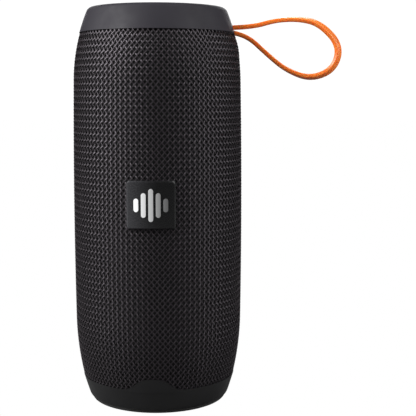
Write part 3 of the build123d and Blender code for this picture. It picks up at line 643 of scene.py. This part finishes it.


# One yarn in two tones: the falling threads get a darker copy as painted shade, for the key light from the
# upper left that lights the rising threads more.
rising_yarn = yarn("yarn rising", (0.0100, 0.0080, 0.0092), 0.47)
falling_yarn = yarn("yarn falling, painted shade", (0.0089, 0.0071, 0.0082), 0.50)
for half in (0, 1):
    numbers = range(half, THREADS, 2)
    weave(f"yarn_rising_{half + 1}", True, numbers, rising_yarn)
    weave(f"yarn_falling_{half + 1}", False, numbers, falling_yarn)
lining = scrim()

# ---------------------------------------------------------------- rubber surrounds


def surround_outline(middle, roll, thick, land_out, land_in):
    """Closed (radius, height) outline of a roll and its two lands, in mm."""
    outer, inner = roll + thick / 2, roll - thick / 2
    meet = math.asin(thick / outer)
    over = [(middle + outer * math.cos(a), outer * math.sin(a))
            for a in np.linspace(meet, math.pi - meet, ROLL_OVER_POINTS)]
    under = [(middle + inner * math.cos(a), inner * math.sin(a))
             for a in np.linspace(math.pi, 0, ROLL_UNDER_POINTS)]
    return [(land_out, thick), *over, (land_in, thick), (land_in, 0), *under, (land_out, 0)]


def surround(node, place, outline, bend, material):
    """Rubber roll in wedges; points at the housing's radius bend[0] and the moving body's radius bend[1]
    are worked out but not used.
    """
    half = math.pi / WEDGES
    for wedge in range(WEDGES):
        middle = 2 * half * wedge
        points = []
        for angle in np.linspace(middle - half, middle + half, WEDGE_RINGS):
            points += [place(r * math.cos(angle), r * math.sin(angle), h) for r, h in outline]
        name = f"{node}_{wedge + 1:02d}"
        obj = new_object(name, capped_tube(name, points, len(outline)), material)
        crease(obj.data)
        start, end = [Vector(place(r * math.cos(middle), r * math.sin(middle), 0)) * MM for r in bend]
        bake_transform(obj)
        if wedge == 0:
            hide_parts(node)


def at_radiator(level, sign):
    """Placing of a radiator's surround, its third coordinate outwards from that end."""
    return lambda x, y, h: (x, y, level + sign * (RADIATOR_COLLAR + h))


def at_driver(height):
    """Placing of a driver's surround, its third coordinate forwards."""
    return lambda x, y, h: (x, DRIVER_FRONT - h, height + y)


rubber = moulded("surround rubber", (0.018, 0.018, 0.019), 0.42, grain=2400, depth=0.012, swing=0.06)
radiator_roll = surround_outline(**RADIATOR_ROLL)
for end, (level, sign) in RADIATOR_ENDS.items():
    surround(f"radiator_{end}_surround", at_radiator(level, sign),
             radiator_roll, RADIATOR_BEND, rubber)
driver_roll = surround_outline(**DRIVER_ROLL)
for driver, height in DRIVER_HEIGHTS.items():
    surround(f"driver_{driver}_surround", at_driver(height),
             driver_roll, DRIVER_BEND, rubber)

# ---------------------------------------------------------------- CAD nodes and their finishes

FINISHES = {
    "cap": moulded("cap plastic", (0.0205, 0.0189, 0.0240), 0.60, grain=2300, depth=0.018, mottle=0.06,
                   Specular_IOR_Level=0.18),
    "base": moulded("base plastic", (0.0070, 0.0069, 0.0074), 0.42, grain=2300, depth=0.018, mottle=0.10,
                    Specular_IOR_Level=0.38),
    "foot": moulded("foot rubber", (0.016, 0.016, 0.016), 0.75, grain=1500, depth=0.04),
    # Badge plate: dark lacquer with a painted highlight growing towards its left edge.
    "badge": painted_side_light("badge lacquer, painted highlight", (0.0060, 0.0060, 0.0066), 0.24, across=(-10.5, 3.0), power=1.3,
                   dark=0.6, light=5.5, Specular_IOR_Level=0.45, Coat_Weight=0.3, Coat_Roughness=0.15),
    # Emblem: satin colour with a painted highlight at its left edge, fading to painted shade at its right.
    "emblem": painted_side_light("satin emblem, painted highlight", (0.92, 0.92, 0.93), 0.32, across=(-6.5, 7.0), power=1.4,
                    dark=0.14, light=1.08, metallic=0.05),
    "spine": moulded("spine plastic", (0.024, 0.024, 0.026), 0.48, grain=1400, depth=0.03),
    "key": moulded("key rubber", (0.030, 0.030, 0.033), 0.62, grain=2000, depth=0.02),
    "cover": moulded("cover rubber", (0.020, 0.020, 0.021), 0.68, grain=1900, depth=0.025),
    "lens": moulded("light guide", (0.62, 0.64, 0.66), 0.35, grain=2600, depth=0.008, mottle=0.04,
                    Transmission_Weight=0.35),
    "steel": brushed("plated steel", (0.56, 0.56, 0.57), 0.28, stretch=(6, 6, 0.4)),
    "housing": moulded("housing plastic", (0.022, 0.022, 0.023), 0.52, grain=1300, depth=0.03),
    "board": moulded("solder mask", (0.010, 0.085, 0.035), 0.30, grain=700, depth=0.01, mottle=0.2),
    "chip": moulded("moulded parts", (0.022, 0.022, 0.023), 0.55, grain=2200, depth=0.02),
    "socket": brushed("tinned shell", (0.62, 0.62, 0.61), 0.25, stretch=(1, 0.3, 1), scale=1200),
    "cell": moulded("cell wrap", (0.03, 0.16, 0.42), 0.28, grain=900, depth=0.01, mottle=0.08),
    "wire": moulded("wire jacket", (0.30, 0.02, 0.02), 0.45, grain=1500, depth=0.01),
    "diaphragm": moulded("diaphragm plastic", (0.030, 0.030, 0.032), 0.34, grain=2400, depth=0.012),
    "cone": moulded("pulp cone", (0.045, 0.045, 0.046), 0.85, grain=1200, depth=0.06, mottle=0.25),
    "coil": brushed("coil winding", (0.55, 0.27, 0.12), 0.35, stretch=(0.3, 8, 0.3)),
    "spider": moulded("treated cloth", (0.42, 0.28, 0.08), 0.8, grain=1600, depth=0.06, mottle=0.2),
    "basket": moulded("basket paint", (0.024, 0.024, 0.025), 0.4, grain=900, depth=0.02),
    "ferrite": moulded("ferrite", (0.040, 0.040, 0.043), 0.55, grain=800, depth=0.03, mottle=0.2),
    "foam": moulded("foam", (0.020, 0.020, 0.020), 0.95, grain=1400, depth=0.08, mottle=0.3),
}
NODE_FINISH = {
    "cap": ["top_cap"],
    "base": ["base_ring"],
    "foot": ["foot_ring"],
    "badge": ["badge_plate"],
    "emblem": ["badge_emblem"],
    "spine": ["spine_panel"],
    "key": ["button_power", "button_pairing", "button_volume_up", "button_play", "button_volume_down"],
    "cover": ["port_cover"],
    "lens": ["light_pipes"],
    "steel": ["strap_pin", "port_cover_pin", "key_switches", "end_frame_screws", "board_screws",
              "radiator_top_weight", "radiator_bottom_weight", "driver_top_plates", "driver_yokes",
              "driver_screws"],
    "housing": ["strap_anchor", "audio_jack", "front_grille", "rear_shell", "front_baffle",
                "battery_cradle", "end_frame_top", "end_frame_bottom", "radiator_top_clamp",
                "radiator_bottom_clamp"],
    "board": ["key_board", "main_board"],
    "chip": ["indicator_leds", "main_board_parts"],
    "socket": ["usb_port", "microphone"],
    "cell": ["battery_cell"],
    "wire": ["internal_wires"],
    "diaphragm": ["radiator_top_diaphragm", "radiator_bottom_diaphragm"],
    "cone": ["driver_lower_cone", "driver_upper_cone"],
    "coil": ["driver_lower_voice_coil", "driver_upper_voice_coil"],
    "spider": ["driver_lower_spider", "driver_upper_spider"],
    "basket": ["driver_baskets"],
    "ferrite": ["driver_magnets"],
    "foam": ["driver_gaskets", "port_seal"],
}
for finish, names in NODE_FINISH.items():
    for name in names:
        materials = NODES[name].data.materials
        materials.clear()
        materials.append(FINISHES[finish])

# ---------------------------------------------------------------- key symbols


def stroke(points, width):
    """Quads along a line of (x, z) points."""
    line = np.array(points, dtype=float)
    step = np.gradient(line, axis=0)
    normal = np.stack([-step[:, 1], step[:, 0]], axis=-1)
    normal /= np.linalg.norm(normal, axis=1)[:, None]
    left, right = line + normal * width / 2, line - normal * width / 2
    return [[left[i], left[i + 1], right[i + 1], right[i]] for i in range(len(line) - 1)]


def arc(radius, start, end, steps, centre=(0, 0)):
    """Points (x, z) of an arc between two angles in degrees."""
    angles = np.radians(np.linspace(start, end, steps))
    return [(centre[0] + radius * math.cos(a), centre[1] + radius * math.sin(a)) for a in angles]


waves = []
for radius, steps in ((0.85, 12), (1.85, 16), (2.85, 20)):
    waves += stroke(arc(radius, -WAVE_REACH, WAVE_REACH, steps, WAVE_CENTRE), FINE_LINE)
level_bar = stroke([(-SIGN_HALF, 0), (SIGN_HALF, 0)], PLAIN_LINE)
upright_bar = stroke([(0, -SIGN_HALF), (0, SIGN_HALF)], PLAIN_LINE)
triangle = [[(0.1, -1.6), (0.1, 1.6), (-2.3, 0), (-2.3, 0)]]
pause_bars = stroke([(1.0, -1.6), (1.0, 1.6)], THICK_LINE) + stroke([(2.0, -1.6), (2.0, 1.6)], THICK_LINE)
SYMBOLS = {
    "power": stroke(arc(1.55, 125, 415, 40), ROUND_LINE) + stroke([(0, 0.5), (0, 2.2)], ROUND_LINE),
    "pairing": waves + stroke([(-1.5, 0), (-0.95, 0)], THICK_LINE),
    "volume_up": level_bar + upright_bar,
    "play": triangle + pause_bars,
    "volume_down": level_bar,
}
ink = Finish("symbol ink", (0.62, 0.62, 0.62), 0.55)
ink.tint(ink.ramp(ink.noise(scale=600, detail=3), 0, 1), 0.85, 1.1)
ink.relief(ink.noise(scale=2500, detail=2), 0.01)


def symbol(name, quads):
    """Thin printed symbol standing on a key's flat top."""
    height = KEY_HEIGHTS[name]
    under, over = (KEY_TOP - SYMBOL_SINK) * MM, (KEY_TOP + SYMBOL_HEIGHT) * MM
    bm = bmesh.new()
    for quad in quads:
        corners = []
        for x, z in quad:
            if not corners or (x, z) != corners[-1]:
                corners.append((float(x), float(z)))
        low = [bm.verts.new((x * MM, under, (height + z) * MM)) for x, z in corners]
        high = [bm.verts.new((x * MM, over, (height + z) * MM)) for x, z in corners]
        bm.faces.new(low)
        bm.faces.new(high[::-1])
        for i in range(len(corners)):
            j = (i + 1) % len(corners)
            bm.faces.new([low[i], low[j], high[j], high[i]])
    mesh = solid_mesh(f"symbol_{name}", bm)
    obj = new_object(f"symbol_{name}", mesh, ink.material, smooth=False)
    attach(obj, f"button_{name}")


for name, quads in SYMBOLS.items():
    symbol(name, quads)

# ---------------------------------------------------------------- floor and light

floor_mesh = bpy.data.meshes.new("floor")
floor_corners = [(x * FLOOR_HALF, y * FLOOR_HALF, 0) for x, y in ((-1, -1), (1, -1), (1, 1), (-1, 1))]
floor_mesh.from_pydata(floor_corners, [], [(0, 1, 2, 3)])
floor_mat = Finish("floor", (0.12, 0.12, 0.12), 0.9)
floor_mat.relief(floor_mat.noise(scale=300, detail=2), 0.02)
pale = floor_mat.tree.nodes.new("ShaderNodeEmission")
by_camera(floor_mat.tree, floor_mat.shader, pale, "Material Output")
floor = new_object("floor", floor_mesh, floor_mat.material, smooth=False)
floor.location.z = -FLOOR_DROP


def softbox(name, azimuth, elevation, distance, width, height, power):
    """Area light towards the object, its azimuth turning from -Y towards +X."""
    data = bpy.data.lights.new(name, "AREA")
    data.shape = "RECTANGLE"
    data.size, data.size_y, data.energy = width, height, power
    light = bpy.data.objects.new(name, data)
    a, e = math.radians(azimuth), math.radians(elevation)
    towards = Vector((math.sin(a) * math.cos(e), -math.cos(a) * math.cos(e), math.sin(e)))
    light.location = AIM + towards * distance
    light.rotation_euler = (AIM - light.location).to_track_quat("-Z", "Y").to_euler()
    bpy.context.scene.collection.objects.link(light)


softbox("key", -66, 32, distance=1.0, width=0.45, height=0.7, power=21.0)
softbox("fill", 74, 20, distance=1.2, width=0.6, height=0.8, power=11.0)
softbox("top", 58, 56, distance=1.2, width=0.7, height=0.7, power=5.5)
softbox("back", 180, 25, distance=1.5, width=1.2, height=1.0, power=15.0)

world = bpy.data.worlds.new("studio")
bpy.context.scene.world = world
world.use_nodes = True
room = world.node_tree.nodes["Background"]
backdrop = world.node_tree.nodes.new("ShaderNodeBackground")
for node, strength in ((room, ROOM_LIGHT), (backdrop, BACKDROP_LIGHT)):
    node.inputs["Color"].default_value = (1, 1, 1, 1)
    node.inputs["Strength"].default_value = strength
by_camera(world.node_tree, room, backdrop, "World Output")

bpy.context.scene.view_settings.view_transform = "Standard"

# ---------------------------------------------------------------- update

bpy.context.view_layer.update()
